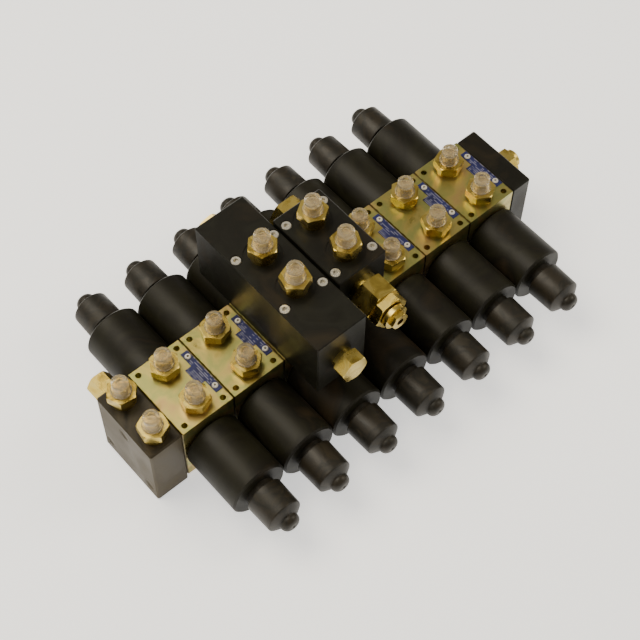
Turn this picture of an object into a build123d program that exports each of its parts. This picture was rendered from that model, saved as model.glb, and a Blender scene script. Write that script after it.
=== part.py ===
from build123d import *
import math
import os

# A bank of seven solenoid directional valves, stacked along X between two end plates.
# Millimetres, +Z up.  The origin is the middle of the four foot screw holes, on the mounting plane.

# ---- stack ---------------------------------------------------------------------------------------
section_count = 7
section_pitch = 50.0  # width of one section along X
body_depth = 68.0  # size of a section and of the end plates along Y
body_height = 66.0
plate_height = 72.0  # the end plates are the feet, so the sections hang clear of the surface
inlet_width = 30.0
closing_width = 20.0
edge_break = 0.8
plate_break = 1.2
thread_gap = 0.05  # radial gap between a male thread and its tapped hole
slip_gap = 0.2  # radial gap of a clearance hole

# ---- spool bore, from the middle of the section outwards -----------------------------------------
bore_drop = 33.7  # spool axis below the top face
spool_dia = 12.0
spool_gap = 0.03
spool_stroke = 3.2
pressure_half = 3.0  # half width of the pressure chamber
pressure_land = 6.0
work_chamber = 6.0
tank_land = 3.0
spring_room = 6.0
chamber_dia = 18.0
land_overlap = 1.0  # how far a spool land covers each housing edge at rest

# ---- galleries that run through the whole bank ---------------------------------------------------
pressure_gallery_dia = 10.0
pressure_gallery_drop = 12.0  # below the spool axis
tank_gallery_dia = 8.0
tank_gallery_drop = 13.0
work_drill_dia = 4.5

# ---- work ports and their screw-in fittings ------------------------------------------------------
port_spacing = 38.0  # between the A and B ports
inlet_port_spacing = 38.6
port_dia = 18.0
port_depth = 10.0
stud_length = 9.0
hex_flats = 22.0
hex_height = 8.0
hex_chamfer = 1.0
collar_dia = 20.0
collar_height = 3.5
tall_collar_height = 6.5
neck_dia = 12.4
neck_height = 8.5
fitting_bore = 8.0
cap_wall = 0.95
cap_height = 13.5
cap_lip = 1.2
cap_lip_height = 1.6
cap_taper = 0.5
cap_round = 1.0
cap_recess_dia = 7.0
cap_recess_depth = 2.5
cap_gap = 0.1

# ---- tapped holes, screws and tie rods -----------------------------------------------------------
screw_dia = 5.0
screw_edge_x = 6.4  # screw axis in from the section's side face
screw_edge_y = 5.35
top_hole_depth = 10.0
screw_head_dia = 8.5
screw_head_height = 5.0
screw_socket = 4.0
screw_bite = 8.5
head_gap = 0.25
tie_dia = 8.0
tie_bite = 9.0  # thread in the closing plate
tie_top_drop = 12.0
tie_edge = 8.5
tie_foot = 8.0
nut_dia = 12.0
nut_height = 6.5
nut_slot = 2.0  # width and depth of the slot across the round nut
nut_room = 0.5  # round the nut in its pocket
nut_pocket = 9.5
foot_dia = 8.0
foot_depth = 14.0
foot_spacing = 32.0

# ---- solenoids, measured outwards from the section's side face -----------------------------------
root_dia = 20.0
tube_dia = 16.0
tube_length = 72.0
tube_bore = 12.4
pole_length = 12.0
spring_pocket = 6.0
end_plug_length = 14.0
armature_length = 34.0
armature_gap = 0.2
pin_dia = 5.0
override_dia = 4.0
override_reach = 4.0  # how far the override pin stands out of the tube
can_dia = 49.6
can_wall = 3.0
can_gap = 1.0
can_length = 58.5
can_end = 5.0
can_chamfer = 1.5
coil_nut_wall = 1.5  # from the tube to a flat
coil_nut_height = 7.5
boot_dia = 32.4
boot_length = 32.5
boot_grip = 1.8  # wall of the narrow neck that grips the coil nut
boot_groove = 5.0
boot_round = 4.0
boot_wall = 2.5
nipple_dia = 16.7
nipple_length = 8.0
nipple_bore = 6.0
nipple_round = 5.0

# ---- centring springs ----------------------------------------------------------------------------
wire_dia = 1.4
spring_dia = 12.6
spring_turns = 4
washer_dia = 15.0
washer_thick = 1.5
washer_bore = 6.4
spool_tail_dia = 9.0
spool_neck_dia = 7.0
spool_tip = 4.0  # spool end past its shoulder

# ---- the two blocks screwed on sections 3 and 4 --------------------------------------------------
long_section = 3
short_section = 4
block_width = 47.5
block_height = 61.5
long_block_length = 145.0
short_block_length = 78.0
block_break = 0.8
spot_dia = 31.0
spot_depth = 0.6
work_bore = 8.0

# check valves of the long block, along Y
check_rise = 27.5  # axis above the block's foot
check_bore = 14.0
plug_thread_dia = 18.0
plug_thread_length = 12.0
plug_neck_dia = 19.0
plug_neck_length = 4.0
plug_head = 11.5
plug_turn = 46.0  # how far the hexagon ended up turned
poppet_length = 16.0
poppet_nose = 2.5
poppet_pocket = 8.0
pilot_travel = 3.0
pilot_half = 17.0  # half length of the pilot piston's chamber
pilot_length = 14.0
pilot_pin_dia = 5.0
seat_bore = 8.0
seat_thick = 4.0
check_drill = 6.0
check_drill_shift = 5.5
check_gap = 0.04
check_spring_dia = 9.0
check_wire = 1.2
check_turns = 7

# relief valve of the short block, along Y
relief_rise = 37.0
relief_thread_dia = 24.0
relief_thread_length = 14.0
relief_collar_dia = 26.0
relief_collar = 6.0
relief_flats = 30.0
relief_hex = 19.5
relief_turn = 52.0
relief_bore = 14.0
adjust_dia = 12.0
adjust_flange_dia = 21.5
adjust_flange = 4.0
adjust_head_flats = 14.0
adjust_head = 4.7
adjust_socket = 6.0
adjust_reach = 1.0  # thread between the lock nut and the flange
adjust_bite = 12.0
adjust_travel = 2.2
lock_flats = 27.0
lock_height = 8.3
lock_turn = 6.5
far_hex = 14.0
relief_spring_dia = 11.0
relief_wire = 2.0
seat_disc = 4.0
poppet_dia = 8.0
poppet_rise = 5.0
relief_port = 5.0
relief_seat = 3.0
relief_nose = 1.5
relief_turns = 3

# ---- end plate cartridges ------------------------------------------------------------------------
inlet_relief_drop = 19.0
inlet_relief_dia = 16.0
inlet_relief_thread = 10.0
inlet_relief_nose_dia = 13.6
inlet_relief_nose_end = 8.0  # from the middle of the plate, clear of the top tie rod
inlet_relief_flats = 19.0
inlet_relief_hex = 21.5
closing_plug_drop = 18.0
closing_plug_depth = 8.0
closing_plug_hex = 11.0
closing_plug_tip_dia = 16.0
closing_plug_tip = 6.0

# ---- label plates --------------------------------------------------------------------------------
label_length = 44.0
label_width = 6.5
label_tab_length = 17.0
label_tab_width = 6.0
label_thick = 0.6
label_edge = 4.5  # label's middle line in from the section's side face
rivet_spacing = 33.5
rivet_dia = 5.0
rivet_hole = 2.2
rivet_height = 1.2
rivet_shank_dia = 2.6
rivet_depth = 4.0

# ---- seals ---------------------------------------------------------------------------------------
seal_wire = 1.8
seal_land = 1.2  # wall between a gallery and its seal groove

# ---- places that follow from the sizes above -----------------------------------------------------
stack_length = section_count * section_pitch
foot_reach = (stack_length + inlet_width / 2 + closing_width / 2) / 2  # foot holes at +- this X
stack_start = -foot_reach + inlet_width / 2
stack_end = stack_start + stack_length
section_x = [stack_start + section_pitch * (i + 0.5) for i in range(section_count)]
long_x = section_x[long_section - 1]
short_x = section_x[short_section - 1]
side = body_depth / 2
body_foot = plate_height - body_height
bore_z = plate_height - bore_drop
work_in = pressure_half + pressure_land
work_out = work_in + work_chamber
tank_in = work_out + tank_land
root_in = tank_in + spring_room
root_length = side - root_in
work_drill_y = (work_in + work_out) / 2 + 0.6
pressure_z = bore_z - pressure_gallery_drop
tank_z = bore_z - tank_gallery_drop
tank_y = tank_in + spring_room / 2
tie_spots = [
    (0, plate_height - tie_top_drop),
    (side - tie_edge, body_foot + tie_foot),
    (tie_edge - side, body_foot + tie_foot),
]
top_hole_x = section_pitch / 2 - screw_edge_x
top_hole_y = side - screw_edge_y
boot_start = can_gap + can_length
block_top = plate_height + block_height
port_sides = (-port_spacing / 2, port_spacing / 2)
bare_sections = [x for x in section_x if x not in (long_x, short_x)]
solenoid_spots = [
    Location((x, s * side, bore_z), (-90 * s, 0, 0)) for x in section_x for s in (1, -1)
]


def spin(*outline):
    """Turn a closed outline of (radius, height) points about Z, in the part being built."""
    with BuildSketch(Plane.XZ) as half:
        with BuildLine():
            Polyline(*outline, close=True)
        make_face()
    revolve(half.sketch, axis=Axis.Z)


def hexagon(flats, start, height, chamfer_size):
    """A hexagon along Z whose two ends have turned chamfers.  It is the first step of its part."""
    with BuildSketch(Plane.XY.offset(start)) as flat_shape:
        RegularPolygon(flats / 2, 6, major_radius=False)
    extrude(flat_shape.sketch, amount=height)
    barrel = flats / math.sqrt(3)
    drop = chamfer_size * math.tan(math.radians(30))
    with BuildSketch(Plane.XZ) as turning:
        with BuildLine():
            Polyline(
                (0, start),
                (barrel - chamfer_size, start),
                (barrel, start + drop),
                (barrel, start + height - drop),
                (barrel - chamfer_size, start + height),
                (0, start + height),
                close=True,
            )
        make_face()
    revolve(turning.sketch, axis=Axis.Z, mode=Mode.INTERSECT)


def drill(dia, start, end):
    """A round passage between two points."""
    run = Vector(*end) - Vector(*start)
    with BuildSketch(Plane(origin=start, z_dir=run)) as hole_shape:
        Circle(dia / 2)
    extrude(hole_shape.sketch, amount=run.length, mode=Mode.SUBTRACT)


def spring_sleeve(outer_dia, wire, turns, start, end):
    """A spring along Z, as a closed sleeve with one ring-shaped bulge for each of its turns."""
    pitch = (end - start) / turns
    outer, inner = outer_dia / 2, outer_dia / 2 - wire
    ridges = []
    for turn in reversed(range(turns)):
        ridges += [(outer - wire / 2, start + pitch * (turn + 1)), (outer, start + pitch * (turn + 0.5))]
    spin((inner, start), (inner, end), *ridges, (outer - wire / 2, start))


def keep(piece, name):
    """Name a finished piece and write it."""
    piece.part.label = name
    export_step(piece.part, f"parts/{name}.step")


os.makedirs("parts", exist_ok=True)


# ---- valve sections ------------------------------------------------------------------------------
for number, x in enumerate(section_x, 1):
    with BuildPart() as valve_section:
        with BuildSketch(Plane.XY.offset(body_foot)):
            with Locations((x, 0)):
                Rectangle(section_pitch, body_depth)
        extrude(amount=body_height)
        chamfer(valve_section.edges().filter_by(Axis.Y), edge_break)
        chamfer(valve_section.edges().filter_by(Axis.Z), edge_break)
        # spool bore with its ring chambers, and the wide ends that the armature tubes screw into
        drill(spool_dia, (x, -side, bore_z), (x, side, bore_z))
        drill(chamber_dia, (x, -pressure_half, bore_z), (x, pressure_half, bore_z))
        for s in (1, -1):
            drill(chamber_dia, (x, s * work_in, bore_z), (x, s * work_out, bore_z))
            drill(root_dia, (x, s * tank_in, bore_z), (x, s * side, bore_z))
        # work ports and the drillings that join them to their chambers
        with Locations(*[(x, y, plate_height) for y in port_sides]):
            Hole(port_dia / 2, port_depth)
        for s in (1, -1):
            drill(
                work_drill_dia,
                (x, s * work_drill_y, plate_height - port_depth),
                (x, s * work_drill_y, bore_z + spool_dia / 2),
            )
        # screw holes in the top face
        with Locations((x, 0, plate_height)):
            with GridLocations(2 * top_hole_x, 2 * top_hole_y, 2, 2):
                Hole(screw_dia / 2, top_hole_depth)
        # galleries, their seal grooves, and the tie rod holes
        left, right = x - section_pitch / 2, x + section_pitch / 2
        drill(pressure_gallery_dia, (left, 0, pressure_z), (right, 0, pressure_z))
        for s in (1, -1):
            drill(tank_gallery_dia, (left, s * tank_y, tank_z), (right, s * tank_y, tank_z))
        for y, z in tie_spots:
            drill(tie_dia + 2 * slip_gap, (left, y, z), (right, y, z))
        with BuildSketch(Plane(origin=(left, 0, 0), x_dir=(0, 1, 0), z_dir=(1, 0, 0))):
            for y, z, dia in (
                (0, pressure_z, pressure_gallery_dia),
                (tank_y, tank_z, tank_gallery_dia),
                (-tank_y, tank_z, tank_gallery_dia),
            ):
                with Locations((y, z)):
                    Circle(dia / 2 + seal_land + seal_wire)
                    Circle(dia / 2 + seal_land, mode=Mode.SUBTRACT)
        extrude(amount=seal_wire, mode=Mode.SUBTRACT)
        if x in bare_sections:
            # holes for the rivets of the label plate
            with Locations(*[(right - label_edge, s * rivet_spacing / 2, plate_height) for s in (1, -1)]):
                Hole(rivet_shank_dia / 2, rivet_depth)
    keep(valve_section, f"valve_section_{number}")

# ---- inlet end plate: pressure and tank connections, and the main relief cartridge ---------------
inlet_x = -foot_reach
inlet_out = stack_start - inlet_width
relief_z = plate_height - inlet_relief_drop
inlet_near, inlet_far = -inlet_port_spacing / 2, inlet_port_spacing / 2
nose_length = side - inlet_relief_thread - inlet_relief_nose_end

with BuildPart() as inlet_end_plate:
    with BuildSketch():
        with Locations((inlet_x, 0)):
            Rectangle(inlet_width, body_depth)
    extrude(amount=plate_height)
    chamfer(inlet_end_plate.edges(), plate_break)
    with Locations(*[(inlet_x, y, plate_height) for y in (inlet_near, inlet_far)]):
        Hole(port_dia / 2, port_depth)
    drill(work_bore, (inlet_x, inlet_near, plate_height - port_depth), (inlet_x, inlet_near, pressure_z))
    drill(work_bore, (inlet_x, inlet_near, pressure_z), (inlet_x, 0, pressure_z))
    drill(pressure_gallery_dia, (inlet_x, 0, pressure_z), (stack_start, 0, pressure_z))
    drill(work_bore, (inlet_x, inlet_far, plate_height - port_depth), (inlet_x, inlet_far, tank_z))
    drill(tank_gallery_dia, (inlet_x, tank_y, tank_z), (stack_start, tank_y, tank_z))
    drill(inlet_relief_dia, (inlet_x, side, relief_z), (inlet_x, side - inlet_relief_thread, relief_z))
    drill(
        inlet_relief_nose_dia + 2 * slip_gap,
        (inlet_x, side - inlet_relief_thread, relief_z),
        (inlet_x, inlet_relief_nose_end, relief_z),
    )
    drill(work_bore / 2, (inlet_x, inlet_relief_nose_end, relief_z), (inlet_x, inlet_near, relief_z))
    for y, z in tie_spots:
        drill(tie_dia + 2 * slip_gap, (stack_start, y, z), (inlet_out, y, z))
        drill(nut_dia + 2 * nut_room, (inlet_out, y, z), (inlet_out + nut_pocket, y, z))
    for s in (1, -1):
        drill(foot_dia, (inlet_x, s * foot_spacing / 2, 0), (inlet_x, s * foot_spacing / 2, foot_depth))
keep(inlet_end_plate, "inlet_end_plate")

# ---- closing end plate: joins the two tank galleries, holds the tie rods' threads ----------------
closing_x = foot_reach
closing_out = stack_end + closing_width
closing_z = plate_height - closing_plug_drop
riser_x = closing_out - closing_plug_depth + work_drill_dia / 2

with BuildPart() as closing_end_plate:
    with BuildSketch():
        with Locations((closing_x, 0)):
            Rectangle(closing_width, body_depth)
    extrude(amount=plate_height)
    chamfer(closing_end_plate.edges(), plate_break)
    drill(port_dia, (closing_out, 0, closing_z), (closing_out - closing_plug_depth, 0, closing_z))
    drill(work_drill_dia, (riser_x, 0, closing_z), (riser_x, 0, tank_z))
    drill(tank_gallery_dia, (closing_x, -tank_y, tank_z), (closing_x, tank_y, tank_z))
    for s in (1, -1):
        drill(tank_gallery_dia, (stack_end, s * tank_y, tank_z), (closing_x, s * tank_y, tank_z))
        foot_y = s * foot_spacing / 2
        drill(foot_dia, (closing_x, foot_y, 0), (closing_x, foot_y, foot_depth))
    for y, z in tie_spots:
        drill(tie_dia, (stack_end, y, z), (stack_end + tie_bite + 1, y, z))
    with BuildSketch(Plane(origin=(stack_end, 0, 0), x_dir=(0, 1, 0), z_dir=(1, 0, 0))):
        for y, z, dia in (
            (0, pressure_z, pressure_gallery_dia),
            (tank_y, tank_z, tank_gallery_dia),
            (-tank_y, tank_z, tank_gallery_dia),
        ):
            with Locations((y, z)):
                Circle(dia / 2 + seal_land + seal_wire)
                Circle(dia / 2 + seal_land, mode=Mode.SUBTRACT)
    extrude(amount=seal_wire, mode=Mode.SUBTRACT)
keep(closing_end_plate, "closing_end_plate")

# ---- tie rods and their nuts ---------------------------------------------------------------------
nut_face = inlet_out + nut_pocket
rod_start = nut_face - nut_height - 2
with BuildPart() as tie_rods:
    for y, z in tie_spots:
        with BuildSketch(Plane(origin=(rod_start, y, z), z_dir=(1, 0, 0))):
            Circle(tie_dia / 2 - thread_gap)
        extrude(amount=stack_end + tie_bite - rod_start)
keep(tie_rods, "tie_rods")

with BuildPart() as tie_nut:
    with BuildSketch():
        Circle(nut_dia / 2)
    extrude(amount=nut_height)
    chamfer(tie_nut.edges(), edge_break)
    with BuildSketch(Plane.XY.offset(nut_height - nut_slot)):
        Rectangle(2 * nut_dia, nut_slot)
    extrude(amount=nut_slot, mode=Mode.SUBTRACT)
    with BuildSketch():
        Circle(tie_dia / 2)
    extrude(amount=nut_height, mode=Mode.SUBTRACT)
with BuildPart() as tie_rod_nuts:
    with Locations(*[Location((nut_face, y, z), (0, -90, 0)) for y, z in tie_spots]):
        add(tie_nut.part)
keep(tie_rod_nuts, "tie_rod_nuts")

# ---- seals between the sections, and under the blocks --------------------------------------------
with BuildPart() as seals:
    for left in [x - section_pitch / 2 for x in section_x] + [stack_end]:
        for y, z, dia in (
            (0, pressure_z, pressure_gallery_dia),
            (tank_y, tank_z, tank_gallery_dia),
            (-tank_y, tank_z, tank_gallery_dia),
        ):
            with Locations(Location((left + seal_wire / 2, y, z), (0, 90, 0))):
                Torus(dia / 2 + seal_land + seal_wire / 2, seal_wire / 2)
    for x in (long_x, short_x):
        for y in port_sides:
            with Locations((x, y, plate_height + seal_wire / 2)):
                Torus(port_dia / 2 + seal_land + seal_wire / 2, seal_wire / 2)
keep(seals, "seals")

# ---- solenoids: armature tube, coil, nut and rubber boot -----------------------------------------
pole_face = pole_length
tube_shell = tube_dia / 2
pin_hole = pin_dia / 2 + armature_gap
plug_start = tube_length - end_plug_length
with BuildPart() as one_tube:
    # the end plug, bored for the override pin, is welded in
    spin(
        (pin_hole, spring_pocket - root_length),
        (spring_dia / 2 + slip_gap, spring_pocket - root_length),
        (spring_dia / 2 + slip_gap, -root_length),
        (root_dia / 2 - thread_gap, -root_length),
        (root_dia / 2 - thread_gap, 0),
        (tube_shell, 0),
        (tube_shell, tube_length),
        (override_dia / 2 + armature_gap, tube_length),
        (override_dia / 2 + armature_gap, plug_start),
        (tube_bore / 2, plug_start),
        (tube_bore / 2, pole_face),
        (pin_hole, pole_face),
    )
with BuildPart() as armature_tubes:
    with Locations(*solenoid_spots):
        add(one_tube.part)
keep(armature_tubes, "armature_tubes")

with BuildPart() as one_can:
    spin(
        (tube_shell + slip_gap, boot_start - can_end),
        (can_dia / 2 - can_wall, boot_start - can_end),
        (can_dia / 2 - can_wall, can_gap),
        (can_dia / 2 - can_chamfer, can_gap),
        (can_dia / 2, can_gap + can_chamfer),
        (can_dia / 2, boot_start - can_chamfer),
        (can_dia / 2 - can_chamfer, boot_start),
        (tube_shell + slip_gap, boot_start),
    )
with BuildPart() as solenoid_cans:
    with Locations(*solenoid_spots):
        add(one_can.part)
keep(solenoid_cans, "solenoid_cans")

with BuildPart() as one_winding:
    spin(
        (tube_shell + slip_gap, can_gap),
        (can_dia / 2 - can_wall - slip_gap, can_gap),
        (can_dia / 2 - can_wall - slip_gap, boot_start - can_end),
        (tube_shell + slip_gap, boot_start - can_end),
    )
with BuildPart() as coil_windings:
    with Locations(*solenoid_spots):
        add(one_winding.part)
keep(coil_windings, "coil_windings")

coil_nut_flats = tube_dia + 2 * coil_nut_wall
with BuildPart() as one_coil_nut:
    hexagon(coil_nut_flats, boot_start, coil_nut_height, edge_break)
    with Locations((0, 0, boot_start + coil_nut_height)):
        Hole(tube_shell + thread_gap)
with BuildPart() as coil_nuts:
    with Locations(*solenoid_spots):
        add(one_coil_nut.part)
keep(coil_nuts, "coil_nuts")

boot_end = boot_start + boot_length
nipple_end = boot_end + nipple_length
boot_room = coil_nut_flats / math.sqrt(3) + slip_gap
with BuildPart() as one_boot:
    with BuildSketch(Plane.XZ):
        with BuildLine():
            Polyline(
                (nipple_bore / 2, nipple_end - boot_wall),
                (nipple_bore / 2, boot_end - boot_wall),
                (boot_dia / 2 - boot_wall, boot_end - boot_wall - boot_round / 2),
                (boot_dia / 2 - boot_wall, boot_start + coil_nut_height + boot_wall),
                (boot_room, boot_start + coil_nut_height),
                (boot_room, boot_start),
                (boot_room + boot_grip, boot_start),
                (boot_room + boot_grip, boot_start + boot_groove),
                (boot_dia / 2, boot_start + boot_groove),
                (boot_dia / 2, boot_end),
                (nipple_dia / 2, boot_end),
                (nipple_dia / 2, nipple_end),
                (0, nipple_end),
                (0, nipple_end - boot_wall),
                close=True,
            )
        make_face()
    revolve(axis=Axis.Z)
    round_edges = one_boot.edges().filter_by(GeomType.CIRCLE)
    shoulders = round_edges.filter_by_position(Axis.Z, boot_end, boot_end)
    fillet(shoulders.sort_by(SortBy.RADIUS)[-1], boot_round)
    fillet(round_edges.filter_by_position(Axis.Z, nipple_end, nipple_end), nipple_round)
with BuildPart() as solenoid_boots:
    with Locations(*solenoid_spots):
        add(one_boot.part)
keep(solenoid_boots, "solenoid_boots")

# ---- spools, armatures and centring springs ------------------------------------------------------
land_in = work_in - land_overlap
land_out = work_out + land_overlap
spool_end = tank_in + spool_tip
spool_r = spool_dia / 2 - spool_gap
armature_start = pole_face + spool_stroke + 1.0
armature_end = armature_start + armature_length
armature_r = tube_bore / 2 - armature_gap
washer_face = tank_in - side + washer_thick

with BuildPart() as one_spool:
    right_half = [
        (spool_neck_dia / 2, land_in),
        (spool_r, land_in),
        (spool_r, land_out),
        (spool_tail_dia / 2, land_out),
        (spool_tail_dia / 2, tank_in),
        (pin_dia / 2, tank_in),
        (pin_dia / 2, spool_end),
        (0, spool_end),
    ]
    left_half = [(radius, -height) for radius, height in reversed(right_half)]
    spin(*right_half, *left_half)

with BuildPart() as one_armature:
    spin(
        (0, spool_end - side),
        (pin_dia / 2, spool_end - side),
        (pin_dia / 2, armature_start),
        (armature_r, armature_start),
        (armature_r, armature_end),
        (override_dia / 2, armature_end),
        (override_dia / 2, tube_length + override_reach),
        (0, tube_length + override_reach),
    )

with BuildPart() as one_washer:
    spin(
        (washer_bore / 2, tank_in - side),
        (washer_dia / 2, tank_in - side),
        (washer_dia / 2, washer_face),
        (washer_bore / 2, washer_face),
    )
with BuildPart() as one_spring:
    spring_sleeve(spring_dia, wire_dia, spring_turns, washer_face, spring_pocket - root_length)

for number, x in enumerate(section_x, 1):
    end_spots = [Location((x, s * side, bore_z), (-90 * s, 0, 0)) for s in (1, -1)]
    with BuildPart() as spool:
        with Locations(Location((x, 0, bore_z), (-90, 0, 0))):
            add(one_spool.part)
    keep(spool, f"spool_{number}")
    with BuildPart() as armatures:
        with Locations(*end_spots):
            add(one_armature.part)
    keep(armatures, f"armatures_{number}")
    with BuildPart() as centring_springs:
        with Locations(*end_spots):
            add([one_washer.part, one_spring.part])
    keep(centring_springs, f"centring_springs_{number}")

# ---- the long block: a pair of check valves with a pilot piston between them ---------------------
check_z = plate_height + check_rise
long_half = long_block_length / 2
seat_face = pilot_half + seat_thick
head_r = screw_head_dia / 2 + head_gap
port_floor = block_top - spot_depth - port_depth


def block_shape(x, length):
    """The plain block with its screw holes, port seats and the seal grooves' clearance."""
    with BuildPart() as block:
        with BuildSketch(Plane.XY.offset(plate_height)) as foot:
            with Locations((x, 0)):
                Rectangle(block_width, length)
        extrude(foot.sketch, amount=block_height)
        chamfer(block.edges(), block_break)
        with Locations((x, 0, block_top)):
            with GridLocations(2 * top_hole_x, 2 * top_hole_y, 2, 2):
                CounterBoreHole(screw_dia / 2 + slip_gap, head_r, screw_head_height + head_gap)
        with Locations(*[(x, y, block_top) for y in port_sides]):
            CounterBoreHole(port_dia / 2, spot_dia / 2, spot_depth, spot_depth + port_depth)
        with BuildSketch(Plane.XY.offset(plate_height)) as rings:
            with Locations(*[(x, y) for y in port_sides]):
                Circle(port_dia / 2 + seal_land + seal_wire)
                Circle(port_dia / 2 + seal_land, mode=Mode.SUBTRACT)
        extrude(rings.sketch, amount=seal_wire, mode=Mode.SUBTRACT)
    return block.part


with BuildPart() as long_block:
    add(block_shape(long_x, long_block_length))
    drill(check_bore, (long_x, -pilot_half, check_z), (long_x, pilot_half, check_z))
    drill(seat_bore, (long_x, -seat_face, check_z), (long_x, seat_face, check_z))
    for s in (1, -1):
        plug_seat = s * (long_half - plug_thread_length)
        drill(check_bore, (long_x, s * seat_face, check_z), (long_x, plug_seat, check_z))
        drill(plug_thread_dia, (long_x, plug_seat, check_z), (long_x, s * long_half, check_z))
        pilot_y = s * (port_spacing / 2 - check_drill_shift)
        valve_y = s * (port_spacing / 2 + check_drill_shift)
        drill(check_drill, (long_x, pilot_y, plate_height), (long_x, pilot_y, check_z))
        drill(check_drill, (long_x, valve_y, check_z), (long_x, valve_y, port_floor))
keep(long_block, "long_block")

check_r = check_bore / 2 - check_gap
seat_r = seat_bore / 2 - check_gap
poppet_end = seat_face + poppet_length
with BuildPart() as one_poppet:
    spin(
        (0, seat_face - poppet_nose),
        (seat_r - poppet_nose, seat_face - poppet_nose),
        (check_r, seat_face + check_r - seat_r),
        (check_r, poppet_end),
        (check_spring_dia / 2 + slip_gap, poppet_end),
        (check_spring_dia / 2 + slip_gap, poppet_end - poppet_pocket),
        (0, poppet_end - poppet_pocket),
    )
with BuildPart() as one_check_spring:
    plug_face = long_half - plug_thread_length
    spring_sleeve(check_spring_dia, check_wire, check_turns, poppet_end - poppet_pocket, plug_face)
for s, name in ((1, "far"), (-1, "near")):
    with BuildPart() as check_poppet:
        with Locations(Location((long_x, 0, check_z), (-90 * s, 0, 0))):
            add(one_poppet.part)
    keep(check_poppet, f"{name}_check_poppet")
with BuildPart() as check_springs:
    with Locations(*[Location((long_x, 0, check_z), (-90 * s, 0, 0)) for s in (1, -1)]):
        add(one_check_spring.part)
keep(check_springs, "check_springs")

pilot_tip = seat_face - poppet_nose - pilot_travel - check_gap
with BuildPart() as pilot_piston:
    with BuildSketch(Plane(origin=(long_x, -pilot_length / 2, check_z), z_dir=(0, 1, 0))):
        Circle(check_r)
    extrude(amount=pilot_length)
    with BuildSketch(Plane(origin=(long_x, -pilot_tip, check_z), z_dir=(0, 1, 0))):
        Circle(pilot_pin_dia / 2)
    extrude(amount=2 * pilot_tip)
keep(pilot_piston, "pilot_piston")

with BuildPart() as one_plug:
    hexagon(hex_flats, plug_neck_length, plug_head, hex_chamfer)
    with BuildSketch():
        Circle(plug_neck_dia / 2)
    extrude(amount=plug_neck_length)
    with BuildSketch():
        Circle(plug_thread_dia / 2 - thread_gap)
    extrude(amount=-plug_thread_length)
with BuildPart() as long_block_plugs:
    for s in (1, -1):
        plug_spot = Location((long_x, s * long_half, check_z), (-90 * s, 0, 0))
        with Locations(plug_spot * Rotation(0, 0, plug_turn)):
            add(one_plug.part)
keep(long_block_plugs, "long_block_plugs")

# ---- the short block: an adjustable relief valve on its near face, a fixed cartridge on its far fa
relief_axis_z = plate_height + relief_rise
short_half = short_block_length / 2
with BuildPart() as short_block:
    add(block_shape(short_x, short_block_length))
    drill(work_bore, (short_x, -short_half, relief_axis_z), (short_x, short_half, relief_axis_z))
    for s in (1, -1):
        thread_end = s * (short_half - relief_thread_length)
        port_y = s * port_spacing / 2
        drill(
            relief_thread_dia,
            (short_x, thread_end, relief_axis_z),
            (short_x, s * short_half, relief_axis_z),
        )
        drill(work_bore, (short_x, port_y, plate_height), (short_x, port_y, port_floor))
keep(short_block, "short_block")

near_spot = Location((short_x, -short_half, relief_axis_z), (90, 0, 0))
far_spot = Location((short_x, short_half, relief_axis_z), (-90, 0, 0))
seat_plane = relief_seat - relief_thread_length
relief_top = relief_collar + relief_hex
screw_end = relief_top - adjust_bite
spring_end = screw_end - seat_disc
slide_r = relief_bore / 2 - check_gap
with BuildPart() as relief_shape:
    hexagon(relief_flats, relief_collar, relief_hex, hex_chamfer)
    with BuildSketch():
        Circle(relief_collar_dia / 2)
    extrude(amount=relief_collar)
    with BuildSketch(Plane.XY.offset(-relief_thread_length)):
        Circle(relief_thread_dia / 2 - thread_gap)
    extrude(amount=relief_thread_length)
    drill(relief_bore, (0, 0, seat_plane), (0, 0, screw_end + adjust_travel))
    drill(adjust_dia, (0, 0, screw_end), (0, 0, relief_top))
    drill(relief_port, (0, 0, -relief_thread_length), (0, 0, seat_plane))
with BuildPart() as relief_cartridge:
    with Locations(near_spot * Rotation(0, 0, relief_turn)):
        add(relief_shape.part)
keep(relief_cartridge, "relief_cartridge")

with BuildPart() as poppet_shape:
    spin(
        (0, seat_plane - relief_nose),
        (relief_port / 2 - relief_nose - check_gap, seat_plane - relief_nose),
        (poppet_dia / 2, seat_plane + poppet_dia / 2 - relief_port / 2 + check_gap),
        (poppet_dia / 2, seat_plane + poppet_rise),
        (slide_r, seat_plane + poppet_rise),
        (slide_r, seat_plane + poppet_rise + seat_disc / 2),
        (0, seat_plane + poppet_rise + seat_disc / 2),
    )
with BuildPart() as relief_poppet:
    with Locations(near_spot):
        add(poppet_shape.part)
keep(relief_poppet, "relief_poppet")

with BuildPart() as spring_shape:
    spring_sleeve(
        relief_spring_dia, relief_wire, relief_turns, seat_plane + poppet_rise + seat_disc / 2, spring_end
    )
with BuildPart() as relief_spring:
    with Locations(near_spot):
        add(spring_shape.part)
keep(relief_spring, "relief_spring")

with BuildPart() as disc_shape:
    with BuildSketch(Plane.XY.offset(spring_end)):
        Circle(slide_r)
    extrude(amount=seat_disc)
    chamfer(disc_shape.edges(), edge_break)
with BuildPart() as spring_seat:
    with Locations(near_spot):
        add(disc_shape.part)
keep(spring_seat, "spring_seat")

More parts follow.
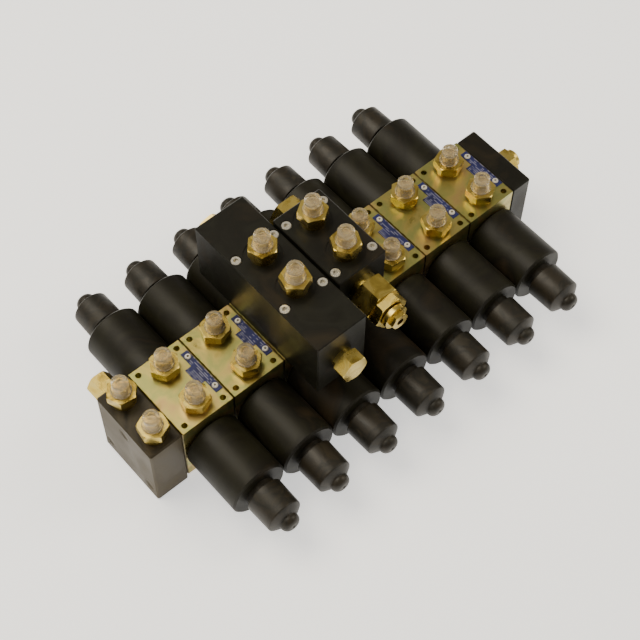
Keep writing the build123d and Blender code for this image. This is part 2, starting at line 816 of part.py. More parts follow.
flange_start = relief_top + lock_height + adjust_reach
head_start = flange_start + adjust_flange
with BuildPart() as screw_shape:
    hexagon(adjust_head_flats, head_start, adjust_head, edge_break)
    with BuildSketch(Plane.XY.offset(flange_start)):
        Circle(adjust_flange_dia / 2)
    extrude(amount=adjust_flange)
    with BuildSketch(Plane.XY.offset(screw_end)):
        Circle(adjust_dia / 2 - thread_gap)
    extrude(amount=flange_start - screw_end)
    with BuildSketch(Plane.XY.offset(head_start + adjust_head)):
        RegularPolygon(adjust_socket / 2, 6, major_radius=False)
    extrude(amount=-adjust_socket, mode=Mode.SUBTRACT)
with BuildPart() as adjusting_screw:
    with Locations(near_spot):
        add(screw_shape.part)
keep(adjusting_screw, "adjusting_screw")

with BuildPart() as nut_shape:
    hexagon(lock_flats, relief_top, lock_height, hex_chamfer)
    with Locations((0, 0, relief_top + lock_height)):
        Hole(adjust_dia / 2)
with BuildPart() as lock_nut:
    with Locations(near_spot * Rotation(0, 0, lock_turn)):
        add(nut_shape.part)
keep(lock_nut, "lock_nut")

with BuildPart() as far_shape:
    hexagon(relief_flats, 0, far_hex, hex_chamfer)
    with BuildSketch():
        Circle(relief_thread_dia / 2 - thread_gap)
    extrude(amount=-relief_thread_length)
with BuildPart() as far_cartridge:
    with Locations(far_spot):
        add(far_shape.part)
keep(far_cartridge, "far_cartridge")

# ---- cap screws of the blocks --------------------------------------------------------------------
screw_length = block_height - screw_head_height - head_gap + screw_bite
with BuildPart() as one_screw:
    with BuildSketch():
        Circle(screw_head_dia / 2)
    extrude(amount=screw_head_height)
    chamfer(one_screw.faces().sort_by(Axis.Z)[-1].edges(), screw_head_height / 10)
    with BuildSketch(Plane.XY.offset(screw_head_height)):
        RegularPolygon(screw_socket / 2, 6, major_radius=False)
    extrude(amount=-screw_head_height / 2, mode=Mode.SUBTRACT)
    with BuildSketch():
        Circle(screw_dia / 2 - thread_gap)
    extrude(amount=-screw_length)
screw_seat = block_top - screw_head_height - head_gap
with BuildPart() as block_screws:
    with Locations(*[(x, 0, screw_seat) for x in (long_x, short_x)]):
        with GridLocations(2 * top_hole_x, 2 * top_hole_y, 2, 2):
            add(one_screw.part)
keep(block_screws, "block_screws")


# ---- screw-in fittings and their protective caps -------------------------------------------------
def fitting_shape(collar):
    """A fitting along Z with its seat at zero: stud, round collar, hexagon and threaded neck."""
    with BuildPart() as fitting:
        hexagon(hex_flats, collar, hex_height, hex_chamfer)
        with BuildSketch() as collar_ring:
            Circle(collar_dia / 2)
        extrude(collar_ring.sketch, amount=collar)
        with BuildSketch() as stud:
            Circle(port_dia / 2 - thread_gap)
        extrude(stud.sketch, amount=-stud_length)
        with BuildSketch(Plane.XY.offset(collar + hex_height)) as neck:
            Circle(neck_dia / 2)
        extrude(neck.sketch, amount=neck_height)
        chamfer(fitting.faces().sort_by(Axis.Z)[-1].edges(), edge_break)
        drill(fitting_bore, (0, 0, -stud_length), (0, 0, collar + hex_height + neck_height))
    return fitting.part


cap_r = neck_dia / 2 + cap_gap + cap_wall
with BuildPart() as one_cap:
    spin(
        (neck_dia / 2 + cap_gap, 0),
        (cap_r + cap_lip, 0),
        (cap_r + cap_lip, cap_lip_height),
        (cap_r, cap_lip_height),
        (cap_r - cap_taper, cap_height - cap_round),
        (cap_r - cap_taper - cap_round, cap_height),
        (cap_recess_dia / 2, cap_height),
        (cap_recess_dia / 2, cap_height - cap_recess_depth),
        (0, cap_height - cap_recess_depth),
        (0, neck_height + cap_gap),
        (neck_dia / 2 + cap_gap, neck_height + cap_gap),
    )

section_seats = [(x, y, plate_height) for x in bare_sections for y in port_sides]
block_seats = [(x, y, block_top - spot_depth) for x in (long_x, short_x) for y in port_sides]
inlet_seats = [(inlet_x, y, plate_height) for y in (inlet_near, inlet_far)]
tall_seats = block_seats + inlet_seats
section_turns = [17, 0, 38, 12, 52, 25, 8, 44, 30, 18]  # how far each hexagon ended up turned
tall_turns = [18, 48, 5, 33, 22, 51]
low_collar, tall_collar = fitting_shape(collar_height), fitting_shape(tall_collar_height)
with BuildPart() as section_fittings:
    with Locations(*[Location(p, (0, 0, turn)) for p, turn in zip(section_seats, section_turns)]):
        add(low_collar)
keep(section_fittings, "section_fittings")
with BuildPart() as tall_fittings:
    with Locations(*[Location(p, (0, 0, turn)) for p, turn in zip(tall_seats, tall_turns)]):
        add(tall_collar)
keep(tall_fittings, "tall_fittings")
cap_spots = [(x, y, z + collar_height + hex_height) for x, y, z in section_seats]
cap_spots += [(x, y, z + tall_collar_height + hex_height) for x, y, z in tall_seats]
with BuildPart() as port_caps:
    with Locations(*cap_spots):
        add(one_cap.part)
keep(port_caps, "port_caps")

# ---- label plates and the tubular rivets that hold them ------------------------------------------
label_x = [x + section_pitch / 2 - label_edge for x in bare_sections]
with BuildPart() as label_plates:
    with BuildSketch(Plane.XY.offset(plate_height)):
        with Locations(*[(x, 0) for x in label_x]):
            Rectangle(label_width, label_length)
        with Locations(*[(x - label_width / 2 - label_tab_width / 2, 0) for x in label_x]):
            Rectangle(label_tab_width, label_tab_length)
    extrude(amount=label_thick)
    with Locations(*[(x, 0, plate_height + label_thick) for x in label_x]):
        with GridLocations(0, rivet_spacing, 1, 2):
            Hole(rivet_shank_dia / 2)
keep(label_plates, "label_plates")

with BuildPart() as one_rivet:
    spin(
        (rivet_hole / 2, -rivet_depth),
        (rivet_shank_dia / 2 - thread_gap, -rivet_depth),
        (rivet_shank_dia / 2 - thread_gap, label_thick),
        (rivet_dia / 2, label_thick),
        (rivet_dia / 2, label_thick + rivet_height / 2),
        (rivet_dia / 2 - rivet_height / 2, label_thick + rivet_height),
        (rivet_hole / 2, label_thick + rivet_height),
    )
with BuildPart() as label_rivets:
    with Locations(*[(x, 0, plate_height) for x in label_x]):
        with GridLocations(0, rivet_spacing, 1, 2):
            add(one_rivet.part)
keep(label_rivets, "label_rivets")

# ---- cartridges of the end plates ----------------------------------------------------------------
with BuildPart() as inlet_relief_shape:
    hexagon(inlet_relief_flats, 0, inlet_relief_hex, hex_chamfer)
    with BuildSketch():
        Circle(inlet_relief_dia / 2 - thread_gap)
    extrude(amount=-inlet_relief_thread)
    with BuildSketch(Plane.XY.offset(-inlet_relief_thread)):
        Circle(inlet_relief_nose_dia / 2)
    extrude(amount=-nose_length)
with BuildPart() as inlet_relief_cartridge:
    with Locations(Location((inlet_x, side, relief_z), (-90, 0, 0))):
        add(inlet_relief_shape.part)
keep(inlet_relief_cartridge, "inlet_relief_cartridge")

with BuildPart() as closing_plug_shape:
    hexagon(hex_flats, 0, closing_plug_hex, hex_chamfer)
    with BuildSketch(Plane.XY.offset(closing_plug_hex)):
        Circle(closing_plug_tip_dia / 2)
    extrude(amount=closing_plug_tip)
    chamfer(closing_plug_shape.faces().sort_by(Axis.Z)[-1].edges(), hex_chamfer)
    with BuildSketch():
        Circle(port_dia / 2 - thread_gap)
    extrude(amount=-closing_plug_depth)
with BuildPart() as closing_plug:
    with Locations(Location((closing_out, 0, closing_z), (0, 90, 0)) * Rotation(0, 0, 30)):
        add(closing_plug_shape.part)
keep(closing_plug, "closing_plug")
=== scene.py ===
import math

import bpy
from mathutils import Matrix, Vector


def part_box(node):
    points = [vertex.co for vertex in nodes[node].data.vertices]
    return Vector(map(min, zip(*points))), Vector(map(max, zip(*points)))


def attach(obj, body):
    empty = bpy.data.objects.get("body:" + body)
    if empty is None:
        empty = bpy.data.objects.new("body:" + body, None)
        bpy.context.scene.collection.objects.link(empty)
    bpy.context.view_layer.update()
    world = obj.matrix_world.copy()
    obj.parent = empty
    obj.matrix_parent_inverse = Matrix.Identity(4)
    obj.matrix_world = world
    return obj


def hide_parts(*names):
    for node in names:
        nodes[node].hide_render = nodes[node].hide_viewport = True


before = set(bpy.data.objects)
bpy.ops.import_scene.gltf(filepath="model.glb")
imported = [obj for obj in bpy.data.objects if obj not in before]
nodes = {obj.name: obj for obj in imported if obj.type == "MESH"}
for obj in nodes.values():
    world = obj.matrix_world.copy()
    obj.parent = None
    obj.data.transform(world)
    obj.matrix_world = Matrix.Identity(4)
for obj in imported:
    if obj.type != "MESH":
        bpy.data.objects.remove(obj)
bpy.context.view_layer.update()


# ---- valve sections ------------------------------------------------------------------------------
# Seven steel blocks, milled on all sides, zinc plated and yellow passivated.  The passivation is thin
# and uneven, so it runs from straw and olive to faint pink and green, and oil has darkened the joints.
def surface(name, tints, patch, rough, metallic, lines, depth, shine=0.5):
    """A finish with cloudy tints, gloss that varies with them, and fine marks drawn out along an axis."""
    material = bpy.data.materials.new(name)
    material.use_nodes = True
    tree, link = material.node_tree.nodes, material.node_tree.links.new
    shader = tree["Principled BSDF"]
    shader.inputs["Metallic"].default_value = metallic
    shader.inputs["Specular IOR Level"].default_value = shine
    place = tree.new("ShaderNodeTexCoord")
    cloud = tree.new("ShaderNodeTexNoise")
    cloud.inputs["Scale"].default_value = patch
    cloud.inputs["Detail"].default_value = 5
    cloud.inputs["Distortion"].default_value = 0.8
    link(place.outputs["Object"], cloud.inputs["Vector"])
    ramp = tree.new("ShaderNodeValToRGB")
    stops = ramp.color_ramp.elements
    while len(stops) < len(tints):
        stops.new(0.5)
    for i, tint in enumerate(tints):
        stops[i].position = 0.3 + 0.4 * i / (len(tints) - 1)
        stops[i].color = (*tint, 1)
    link(cloud.outputs["Fac"], ramp.inputs["Fac"])
    link(ramp.outputs["Color"], shader.inputs["Base Color"])
    link(spread(material, cloud.outputs["Fac"], 0.3, 0.7, *rough), shader.inputs["Roughness"])
    stretch = tree.new("ShaderNodeMapping")
    stretch.inputs["Scale"].default_value = lines
    link(place.outputs["Object"], stretch.inputs["Vector"])
    marks = tree.new("ShaderNodeTexNoise")
    marks.inputs["Scale"].default_value = 1
    marks.inputs["Detail"].default_value = 3
    link(stretch.outputs["Vector"], marks.inputs["Vector"])
    bump = tree.new("ShaderNodeBump")
    bump.inputs["Strength"].default_value = depth
    bump.inputs["Distance"].default_value = 0.0002
    link(marks.outputs["Fac"], bump.inputs["Height"])
    link(bump.outputs["Normal"], shader.inputs["Normal"])
    return material


def dress(material, *names):
    """Give CAD nodes a finish."""
    for name in names:
        nodes[name].data.materials.clear()
        nodes[name].data.materials.append(material)


def worked(material, operation, *values):
    """The result of one sum inside a material, from sockets and plain numbers."""
    node = material.node_tree.nodes.new("ShaderNodeMath")
    node.operation = operation
    for socket, value in zip(node.inputs, values):
        if isinstance(value, bpy.types.NodeSocket):
            material.node_tree.links.new(value, socket)
        else:
            socket.default_value = value
    return node.outputs["Value"]


def spread(material, value, low, high, to_low, to_high):
    """A value from one range spread over another, and held at its ends."""
    node = material.node_tree.nodes.new("ShaderNodeMapRange")
    node.inputs["From Min"].default_value, node.inputs["From Max"].default_value = low, high
    node.inputs["To Min"].default_value, node.inputs["To Max"].default_value = to_low, to_high
    material.node_tree.links.new(value, node.inputs["Value"])
    return node.outputs["Result"]


def overlay(material, colour, amount):
    """Lay a second colour over a finish, as far as the amount says."""
    tree, link = material.node_tree.nodes, material.node_tree.links.new
    base = tree["Principled BSDF"].inputs["Base Color"]
    mix = tree.new("ShaderNodeMix")
    mix.data_type = "RGBA"
    mix.inputs["B"].default_value = (*colour, 1)
    link(amount, mix.inputs["Factor"])
    link(base.links[0].from_socket, mix.inputs["A"])
    link(mix.outputs["Result"], base)


def axes(material, kind="ShaderNodeTexCoord", output="Object"):
    """The separate x, y and z of a place or a direction."""
    tree = material.node_tree.nodes
    split = tree.new("ShaderNodeSeparateXYZ")
    material.node_tree.links.new(tree.new(kind).outputs[output], split.inputs["Vector"])
    return split.outputs


STRAW, OLIVE, PINK, GREEN = (0.47, 0.38, 0.12), (0.31, 0.26, 0.065), (0.48, 0.33, 0.13), (0.33, 0.335, 0.11)
section_zinc = surface(
    "section_zinc",
    (OLIVE, STRAW, GREEN, STRAW, PINK, OLIVE),
    patch=24,
    rough=(0.26, 0.42),
    metallic=0.95,
    lines=(2500, 140, 140),
    depth=0.35,
)
section_boxes = [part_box(f"valve_section_{i}") for i in range(1, 8)]
section_x = [(low.x + high.x) / 2 for low, high in section_boxes]
stack_start = section_boxes[0][0].x
half_pitch = (section_x[1] - section_x[0]) / 2
GRIME, GRIME_REACH, GRIME_START, GRIME_FADE = (0.035, 0.022, 0.008), 0.0012, -0.0001, 0.0007
ragged = section_zinc.node_tree.nodes.new("ShaderNodeTexNoise")
ragged.inputs["Scale"].default_value = 260
zinc_place = section_zinc.node_tree.nodes.new("ShaderNodeTexCoord")
section_zinc.node_tree.links.new(zinc_place.outputs["Object"], ragged.inputs["Vector"])
along_stack = worked(section_zinc, "SUBTRACT", axes(section_zinc)["X"], stack_start)
from_joint = worked(section_zinc, "PINGPONG", along_stack, half_pitch)
from_grime = worked(section_zinc, "MULTIPLY_ADD", ragged.outputs["Fac"], -GRIME_REACH, from_joint)
overlay(section_zinc, GRIME, spread(section_zinc, from_grime, GRIME_START, GRIME_FADE, 0.9, 0))
dress(section_zinc, *[f"valve_section_{i}" for i in range(1, 8)])

# ---- end plates and blocks -----------------------------------------------------------------------
# Steel, blackened and oiled.  Milled faces keep a faint grain, and handling has left the oxide slightly
# brown and uneven in gloss.  The inlet plate is browner in patches, and its sides carry a painted warm
# reflection.
BLACK_OXIDE, BROWN_OXIDE, GREY_OXIDE = (0.006, 0.0055, 0.003), (0.018, 0.013, 0.006), (0.011, 0.011, 0.007)
block_black = surface(
    "block_black",
    (BLACK_OXIDE, GREY_OXIDE, BLACK_OXIDE, BROWN_OXIDE),
    patch=26,
    rough=(0.34, 0.52),
    metallic=0.1,
    lines=(120, 1800, 1800),
    depth=0.3,
    shine=0.22,
)
dress(block_black, "long_block", "short_block", "closing_end_plate")
WORN_BROWN, WORN_GREY, SIDE_FACE_REFLECTION = (0.075, 0.055, 0.024), (0.045, 0.037, 0.022), (0.070, 0.052, 0.022)
plate_black = surface(
    "plate_black",
    (BLACK_OXIDE, WORN_GREY, BROWN_OXIDE, WORN_BROWN),
    patch=22,
    rough=(0.42, 0.6),
    metallic=0.1,
    lines=(160, 1500, 160),
    depth=0.3,
    shine=0.3,
)
facing_up = axes(plate_black, "ShaderNodeNewGeometry", "True Normal")["Z"]
# Painted reflection: faces that do not look up, such as the sides of the inlet plate, get a lighter warm
# brown than the top.
overlay(plate_black, SIDE_FACE_REFLECTION, spread(plate_black, facing_up, 0.2, 0.9, 0.75, 0))
dress(plate_black, "inlet_end_plate")

# ---- tie rods, seals and screws ------------------------------------------------------------------
# The rods, their nuts, the coil nuts and the armature tubes are bright zinc plated steel.  So are the cap
# screws that hold the two blocks.  The seals between the sections are black nitrile rubber.
STEEL, DULL_STEEL = (0.62, 0.60, 0.55), (0.44, 0.42, 0.38)
TURNED_LINES = (900, 900, 900)
bright_steel = surface(
    "bright_steel",
    (STEEL, DULL_STEEL, STEEL),
    patch=90,
    rough=(0.18, 0.34),
    metallic=1,
    lines=TURNED_LINES,
    depth=0.2,
)
dress(bright_steel, "tie_rods", "tie_rod_nuts", "coil_nuts", "armature_tubes")
SCREW_BRIGHT, SCREW_DULL = (0.80, 0.77, 0.68), (0.52, 0.49, 0.42)
screw_steel = surface(
    "screw_steel",
    (SCREW_BRIGHT, SCREW_DULL),
    patch=200,
    rough=(0.22, 0.36),
    metallic=0.85,
    lines=TURNED_LINES,
    depth=0.1,
)
dress(screw_steel, "block_screws")
SEAL_BLACK, SEAL_GREY = (0.010, 0.010, 0.010), (0.020, 0.020, 0.019)
seal_rubber = surface(
    "seal_rubber",
    (SEAL_BLACK, SEAL_GREY),
    patch=120,
    rough=(0.5, 0.65),
    metallic=0,
    lines=(1500, 1500, 1500),
    depth=0.2,
)
dress(seal_rubber, "seals")

# ---- working parts out of sight ------------------------------------------------------------------
# Ground steel spools, armatures and poppets, their springs in the same finish, and the copper windings
# of the coils.  The assembled bank hides all of them.
GROUND, GROUND_DARK = (0.55, 0.55, 0.54), (0.42, 0.42, 0.41)
ground_steel = surface(
    "ground_steel",
    (GROUND, GROUND_DARK),
    patch=70,
    rough=(0.12, 0.25),
    metallic=1,
    lines=(300, 3000, 300),
    depth=0.15,
)
inside = ["near_check_poppet", "far_check_poppet", "check_springs", "pilot_piston"]
inside += ["relief_poppet", "relief_spring", "spring_seat"]
for i in range(1, 8):
    inside += [f"spool_{i}", f"armatures_{i}", f"centring_springs_{i}"]
dress(ground_steel, *inside)
COPPER, DARK_COPPER = (0.52, 0.20, 0.09), (0.36, 0.13, 0.06)
copper = surface(
    "copper",
    (DARK_COPPER, COPPER),
    patch=150,
    rough=(0.25, 0.4),
    metallic=1,
    lines=(200, 5000, 200),
    depth=0.3,
)
dress(copper, "coil_windings")

# ---- solenoid coils ------------------------------------------------------------------------------
# Fourteen steel cans with a black, satin finish, slipped over the armature tubes.  Oil and dust have left
# a warm and cloudy bloom on them.
COIL_BLACK, COIL_BROWN, COIL_OLIVE = (0.007, 0.006, 0.0035), (0.022, 0.015, 0.007), (0.013, 0.012, 0.006)
coil_black = surface(
    "coil_black",
    (COIL_BLACK, COIL_OLIVE, COIL_BLACK, COIL_BROWN),
    patch=24,
    rough=(0.40, 0.56),
    metallic=0,
    lines=(300, 300, 300),
    depth=0.2,
    shine=0.2,
)
dress(coil_black, "solenoid_cans")


# ---- solenoid boots ------------------------------------------------------------------------------
# A moulded rubber boot over the end of each armature tube.  It grips the coil nut with a narrow neck,
# tapers slightly to its shoulder, and ends in a cone with a domed nipple over the override pin.
def turned(name, outline, sides):
    """A closed shape of revolution on Z, drawn out ring by ring through its (radius, height) points."""
    bpy.ops.object.select_all(action="DESELECT")
    bpy.ops.mesh.primitive_circle_add(
        vertices=sides, radius=outline[0][0], fill_type="NGON", location=(0, 0, outline[0][1])
    )
    piece = bpy.context.object
    piece.name = piece.data.name = name
    bpy.ops.object.transform_apply(location=True)
    bpy.ops.object.mode_set(mode="EDIT")
    bpy.ops.mesh.select_all(action="SELECT")
    for (radius, height), (next_radius, next_height) in zip(outline, outline[1:]):
        bpy.ops.mesh.extrude_region_move(TRANSFORM_OT_translate={"value": (0, 0, next_height - height)})
        grow = next_radius / radius
        bpy.ops.transform.resize(value=(grow, grow, 1), center_override=(0, 0, next_height))
    bpy.ops.mesh.select_all(action="SELECT")
    bpy.ops.mesh.normals_make_consistent(inside=False)
    bpy.ops.object.mode_set(mode="OBJECT")
    bpy.ops.object.shade_smooth_by_angle(angle=math.radians(40))
    return piece


def arc(centre_radius, centre_height, size, start, end, steps):
    """Points (radius, height) along an arc of an outline, with its angles in degrees from the radius."""
    points = []
    for step in range(steps + 1):
        angle = math.radians(start + (end - start) * step / steps)
        points.append((centre_radius + size * math.cos(angle), centre_height + size * math.sin(angle)))
    return points


def set_out(pattern, spots, material):
    """Copy a fixed piece to each spot, each with its own mesh in its final place.  The pattern goes."""
    made = []
    for index, spot in enumerate(spots):
        copy = pattern.copy()
        copy.data = pattern.data.copy()
        copy.name = copy.data.name = f"{pattern.name}_{index + 1}"
        copy.data.transform(spot)
        copy.data.materials.clear()
        copy.data.materials.append(material)
        bpy.context.collection.objects.link(copy)
        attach(copy, "root")
        made.append(copy)
    bpy.data.objects.remove(pattern)
    return made


boot_low, boot_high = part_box("solenoid_boots")
can_low, can_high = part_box("solenoid_cans")
boot_z = (boot_low.z + boot_high.z) / 2
GRIP, BARREL, SHOULDER, NIPPLE = 0.0130, 0.0161, 0.0156, 0.0083
boot_outline = [(0.0005, 0.0375), (0.0030, 0.0375), (0.0030, 0.0300), (0.0125, 0.0280), (0.0137, 0.0100)]
boot_outline += [(0.0114, 0.0080), (0.0114, 0), (GRIP, 0), (GRIP, 0.0046)]
boot_outline += arc(BARREL - 0.0010, 0.0056, 0.0010, -90, 0, 5)
boot_outline += arc(SHOULDER - 0.0014, 0.0284, 0.0014, 0, 60, 5)
boot_outline += arc(NIPPLE + 0.0008, 0.0340, 0.0008, 270, 180, 4)
boot_outline += arc(NIPPLE - 0.0056, 0.0347, 0.0056, 0, 84, 12)
boot_outline += [(0.0016, 0.0403), (0.0010, 0.0397), (0.0004, 0.0396)]
RUBBER, RUBBER_BROWN, RUBBER_DUST = (0.008, 0.007, 0.004), (0.020, 0.015, 0.008), (0.026, 0.021, 0.012)
boot_rubber = surface(
    "boot_rubber",
    (RUBBER, RUBBER_BROWN, RUBBER, RUBBER_DUST),
    patch=60,
    rough=(0.36, 0.55),
    metallic=0,
    lines=(700, 700, 700),
    depth=0.25,
    shine=0.35,
)
boot = turned("boot", boot_outline, 64)
spots = []
for x in section_x:
    for y, turn in ((can_low.y, 90), (can_high.y, -90)):
        spots.append(Matrix.Translation((x, y, boot_z)) @ Matrix.Rotation(math.radians(turn), 4, "X"))
for piece in set_out(boot, spots, boot_rubber):
    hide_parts("solenoid_boots")

# ---- nut pocket shade discs ----------------------------------------------------------------------
# A dark dished disc sits flush in each of the three pockets that hold the tie rod nuts, in the inlet
# plate's
# finish.  It is painted shade: it hides the bright nuts so that the pockets read dark, with only a faint
# ring.
DISC_RADIUS, DISC_DEPTH, DISC_DISH, DISC_EDGE, DISC_INSET = 0.00647, 0.0020, 0.0004, 0.0003, 0.00002
shade_disc_outline = [(0.0005, -DISC_DEPTH), (DISC_RADIUS - DISC_EDGE, -DISC_DEPTH)]
shade_disc_outline += [(DISC_RADIUS, DISC_EDGE - DISC_DEPTH), (DISC_RADIUS, -DISC_EDGE)]
shade_disc_outline += [(DISC_RADIUS - DISC_EDGE, -DISC_INSET), (0.0046, -DISC_INSET)]
shade_disc_outline += [(0.0041, -DISC_DISH), (0.0005, -DISC_DISH - 0.0001)]
pocket_shade_disc = turned("pocket_shade_disc", shade_disc_outline, 64)
inlet_low, inlet_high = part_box("inlet_end_plate")
ROD_RISE, ROD_SIDE, ROD_TOP_DROP = 0.014, 0.0255, 0.012
rod_spots = [(0, inlet_high.z - ROD_TOP_DROP), (ROD_SIDE, ROD_RISE), (-ROD_SIDE, ROD_RISE)]
outward = Matrix.Rotation(math.radians(-90), 4, "Y")
pockets = [Matrix.Translation((inlet_low.x, y, z)) @ outward for y, z in rod_spots]
# Painted shade: dark discs cover the three nut pockets.
set_out(pocket_shade_disc, pockets, plate_black)

# ---- fittings, plugs and cartridges --------------------------------------------------------------
# Steel hexagon fittings, plugs and valve cartridges, zinc plated with a stronger yellow passivation than
# the sections, in patches from deep to pale yellow.
YELLOW, DEEP_YELLOW, PALE_YELLOW = (0.52, 0.38, 0.08), (0.34, 0.235, 0.045), (0.58, 0.45, 0.13)
fitting_zinc = surface(
    "fitting_zinc",
    (DEEP_YELLOW, YELLOW, PALE_YELLOW, YELLOW),
    patch=75,
    rough=(0.20, 0.36),
    metallic=1,
    lines=(500, 500, 500),
    depth=0.2,
)
dress(fitting_zinc, "section_fittings", "tall_fittings", "long_block_plugs", "closing_plug")
dress(fitting_zinc, "relief_cartridge", "far_cartridge", "inlet_relief_cartridge")
dress(fitting_zinc, "adjusting_screw", "lock_nut")

# ---- fitting threads -----------------------------------------------------------------------------
# The neck of every fitting carries a rolled thread, which shows through the cap above the hexagon.  It is
# drawn as eight plain rings and not as a true helix.
THREAD_ROOT, THREAD_CREST, THREAD_PITCH, THREAD_START = 0.0060, 0.0065, 0.0010, 0.0003
thread_outline = [(0.0055, THREAD_START)]
for turn in range(8):
    start = THREAD_START + THREAD_PITCH * turn
    thread_outline += [(THREAD_ROOT, start), (THREAD_CREST, start + 0.0004), (THREAD_CREST, start + 0.0006)]
thread_outline += [(THREAD_ROOT, 0.0083), (0.0055, 0.0086), (0.0040, 0.0086), (0.0040, 0.0075)]
thread = turned("fitting_thread", thread_outline, 48)
NECK_HEIGHT, TALLER_COLLAR, PORT_SIDE, INLET_PORT_SIDE = 0.0085, 0.003, 0.019, 0.0193
section_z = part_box("section_fittings")[1].z - NECK_HEIGHT
block_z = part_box("tall_fittings")[1].z - NECK_HEIGHT
inlet_x = (inlet_low.x + inlet_high.x) / 2
seats = [(x, y, section_z) for x in section_x[:2] + section_x[4:] for y in (-PORT_SIDE, PORT_SIDE)]
seats += [(x, y, block_z) for x in section_x[2:4] for y in (-PORT_SIDE, PORT_SIDE)]
seats += [(inlet_x, y, section_z + TALLER_COLLAR) for y in (-INLET_PORT_SIDE, INLET_PORT_SIDE)]
neck_spots = [Matrix.Translation(seat) for seat in seats]
set_out(thread, neck_spots, fitting_zinc)

# ---- protective caps -----------------------------------------------------------------------------
# Push-on caps of clear, slightly smoky polyethylene over the neck of every fitting.  Each has a rolled
# lip, a flared skirt and a shallow round recess on top, and the yellow thread shows through the wall.
CAP_TOP, CAP_SKIRT, CAP_LIP, CAP_WALL, CAP_TALL = 0.0067, 0.0074, 0.0084, 0.0006, 0.0135
cap_outline = [(0.0005, 0.0094), (CAP_TOP - CAP_WALL - 0.0006, 0.0094), (CAP_TOP - CAP_WALL, 0.0088)]
cap_outline += [(CAP_SKIRT - CAP_WALL, 0.0016), (CAP_SKIRT - CAP_WALL, 0.0001)]
cap_outline += arc(CAP_LIP - 0.0006, 0.0007, 0.0006, -90, 90, 8)
cap_outline += [(CAP_SKIRT + 0.0003, 0.0015), (CAP_SKIRT, 0.0022), (CAP_TOP + 0.0001, 0.0080)]
cap_outline += arc(CAP_TOP - 0.0014, CAP_TALL - 0.0014, 0.0014, 0, 90, 8)
cap_outline += [(0.0040, CAP_TALL), (0.0035, CAP_TALL - 0.0004), (0.0034, 0.0112), (0.0030, 0.0108)]
cap_outline += [(0.0005, 0.0107)]
cap_plastic = bpy.data.materials.new("cap_plastic")
cap_plastic.use_nodes = True
cap_tree, cap_link = cap_plastic.node_tree.nodes, cap_plastic.node_tree.links.new
cap_shader = cap_tree["Principled BSDF"]
cap_shader.inputs["IOR"].default_value = 1.3
cap_shader.inputs["Transmission Weight"].default_value = 0.84
cap_place = cap_tree.new("ShaderNodeTexCoord")
cap_cloud = cap_tree.new("ShaderNodeTexNoise")
cap_cloud.inputs["Scale"].default_value = 160
cap_link(cap_place.outputs["Object"], cap_cloud.inputs["Vector"])
cap_link(spread(cap_plastic, cap_cloud.outputs["Fac"], 0, 1, 0.16, 0.26), cap_shader.inputs["Roughness"])
cap_tint = cap_tree.new("ShaderNodeMix")
cap_tint.data_type = "RGBA"
SMOKY, MILKY = (0.84, 0.75, 0.55, 1), (0.93, 0.86, 0.69, 1)
cap_tint.inputs["A"].default_value, cap_tint.inputs["B"].default_value = SMOKY, MILKY
cap_link(cap_cloud.outputs["Fac"], cap_tint.inputs["Factor"])
cap_link(cap_tint.outputs["Result"], cap_shader.inputs["Base Color"])
cap = turned("port_cap", cap_outline, 56)
for piece in set_out(cap, neck_spots, cap_plastic):
    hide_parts("port_caps")

# ---- label plates and rivets ---------------------------------------------------------------------
# A thin dark blue plate on each open section, with a tab towards the fittings.  It is printed with rows
# of pale broken bars that spell nothing, and held by bright tubular rivets.
BLUE, DEEP_BLUE = (0.016, 0.022, 0.13), (0.008, 0.010, 0.055)
label_blue = surface(
    "label_blue",
    (DEEP_BLUE, BLUE),
    patch=90,
    rough=(0.3, 0.42),
    metallic=0,
    lines=(400, 400, 400),
    depth=0.15,
    shine=0.4,
)
print_tree, print_link = label_blue.node_tree.nodes, label_blue.node_tree.links.new
PLATE_ASIDE, PLATE_LEFT, PLATE_RIGHT, PRINT_HALF_LENGTH = 0.0205, 0.010, 0.004, 0.0132
WRAP_LEFT = 0.012
label_axes = axes(label_blue)
from_plate = worked(label_blue, "SUBTRACT", label_axes["X"], section_x[0] + PLATE_ASIDE)
over_plate = worked(label_blue, "WRAP", from_plate, 2 * half_pitch - WRAP_LEFT, -WRAP_LEFT)
ROWS, ROW_WIDTH = (0.06, 0.17, 0.28, 0.39, 0.53, 0.64, 0.75, 0.90), 0.05
rows = print_tree.new("ShaderNodeValToRGB")
rows.color_ramp.interpolation = "CONSTANT"
row_stops = rows.color_ramp.elements
while len(row_stops) < 2 * len(ROWS) + 1:
    row_stops.new(0.5)
row_stops[0].position, row_stops[0].color = 0, (0, 0, 0, 1)
for i, row in enumerate(ROWS):
    row_stops[2 * i + 1].position, row_stops[2 * i + 1].color = row, (1, 1, 1, 1)
    row_stops[2 * i + 2].position, row_stops[2 * i + 2].color = row + ROW_WIDTH, (0, 0, 0, 1)
print_link(spread(label_blue, over_plate, -PLATE_LEFT, PLATE_RIGHT, 0, 1), rows.inputs["Fac"])
words = print_tree.new("ShaderNodeMapping")
words.inputs["Scale"].default_value = (640, 420, 1)
print_link(print_tree.new("ShaderNodeTexCoord").outputs["Object"], words.inputs["Vector"])
snapped = print_tree.new("ShaderNodeVectorMath")
snapped.operation = "FLOOR"
print_link(words.outputs["Vector"], snapped.inputs[0])
bars = print_tree.new("ShaderNodeTexWhiteNoise")
print_link(snapped.outputs["Vector"], bars.inputs["Vector"])
broken = worked(label_blue, "GREATER_THAN", bars.outputs["Value"], 0.5)
from_middle = worked(label_blue, "ABSOLUTE", label_axes["Y"])
between_rivets = worked(label_blue, "LESS_THAN", from_middle, PRINT_HALF_LENGTH)
printed = worked(label_blue, "MULTIPLY", rows.outputs["Color"], broken)
PALE_INK = (0.20, 0.20, 0.30)
overlay(label_blue, PALE_INK, worked(label_blue, "MULTIPLY", printed, between_rivets))
dress(label_blue, "label_plates")
RIVET_BRIGHT, RIVET_DULL = (0.90, 0.86, 0.78), (0.72, 0.68, 0.60)
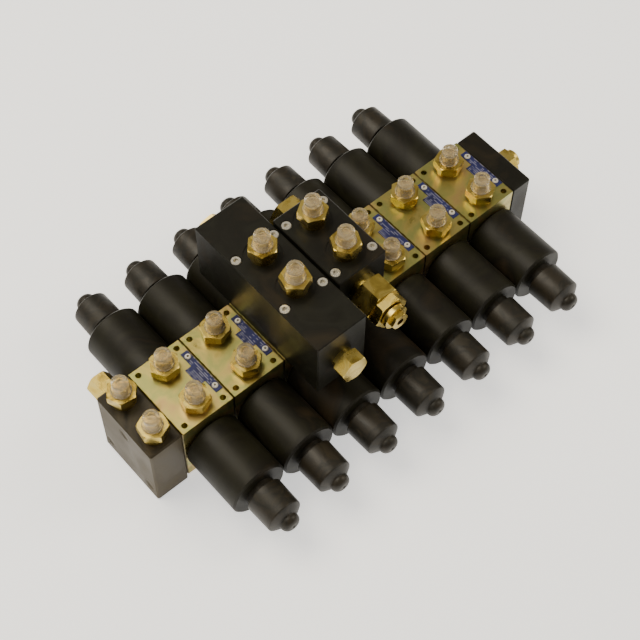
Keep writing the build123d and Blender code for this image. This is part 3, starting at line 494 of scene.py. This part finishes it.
rivet_steel = surface(
    "rivet_steel",
    (RIVET_BRIGHT, RIVET_DULL),
    patch=160,
    rough=(0.3, 0.42),
    metallic=0.4,
    lines=TURNED_LINES,
    depth=0.1,
)
dress(rivet_steel, "label_rivets")

# ---- floor, light and camera ---------------------------------------------------------------------
# A pale, plain table top under one large soft box and two weaker fill lights, seen from above and from
# the inlet end, over the near row of solenoids.
bpy.ops.object.select_all(action="DESELECT")
bpy.ops.mesh.primitive_plane_add(size=8)
table_top = bpy.context.object
table_top.name = "table_top"
pale = bpy.data.materials.new("pale_table")
pale.use_nodes = True
pale_shader = pale.node_tree.nodes["Principled BSDF"]
pale_shader.inputs["Base Color"].default_value = (0.97, 0.97, 0.97, 1)
pale_shader.inputs["Roughness"].default_value = 0.7
pale_shader.inputs["Emission Color"].default_value = (1, 1, 1, 1)
pale_shader.inputs["Emission Strength"].default_value = 0.9
table_top.data.materials.append(pale)

world = bpy.data.worlds.new("studio")
world.use_nodes = True
world.node_tree.nodes["Background"].inputs["Color"].default_value = (1, 0.93, 0.80, 1)
world.node_tree.nodes["Background"].inputs["Strength"].default_value = 0.42
bpy.context.scene.world = world

WARM = (1, 0.92, 0.76)
LIGHTS = {
    "soft_box": ((-0.5, 0.7, 1.6), 1.2, 26),
    "near_fill": ((1.3, -0.7, 1.3), 0.8, 12),
    "left_fill": ((-1.4, 0.4, 0.9), 1.0, 2),
}
for name, (place, size, power) in LIGHTS.items():
    lamp = bpy.data.lights.new(name, "AREA")
    lamp.size = size
    lamp.energy = power
    lamp.color = WARM
    lamp_object = bpy.data.objects.new(name, lamp)
    lamp_object.location = place
    lamp_object.rotation_euler = Vector(place).to_track_quat("Z", "Y").to_euler()
    bpy.context.collection.objects.link(lamp_object)

azimuth, elevation, roll = math.radians(-41.4855), math.radians(58.1518), math.radians(0.652)
look_low, look_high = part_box("short_block")
AIM_LEFT, AIM_NEAR, CAMERA_AWAY = 0.02984, 0.0244, 1.1754
look_at = Vector(((look_low.x + look_high.x) / 2 - AIM_LEFT, -AIM_NEAR, look_low.z))
back = Vector(
    (
        math.sin(azimuth) * math.cos(elevation),
        -math.cos(azimuth) * math.cos(elevation),
        math.sin(elevation),
    )
)
right = Vector((math.cos(azimuth), math.sin(azimuth), 0))
facing = Matrix((right, back.cross(right), back)).transposed()
camera = bpy.data.cameras.new("camera")
camera.lens = 84.05
camera_object = bpy.data.objects.new("camera", camera)
camera_object.rotation_euler = (facing @ Matrix.Rotation(roll, 3, "Z")).to_euler()
camera_object.location = look_at + CAMERA_AWAY * back
bpy.context.collection.objects.link(camera_object)
bpy.context.scene.camera = camera_object
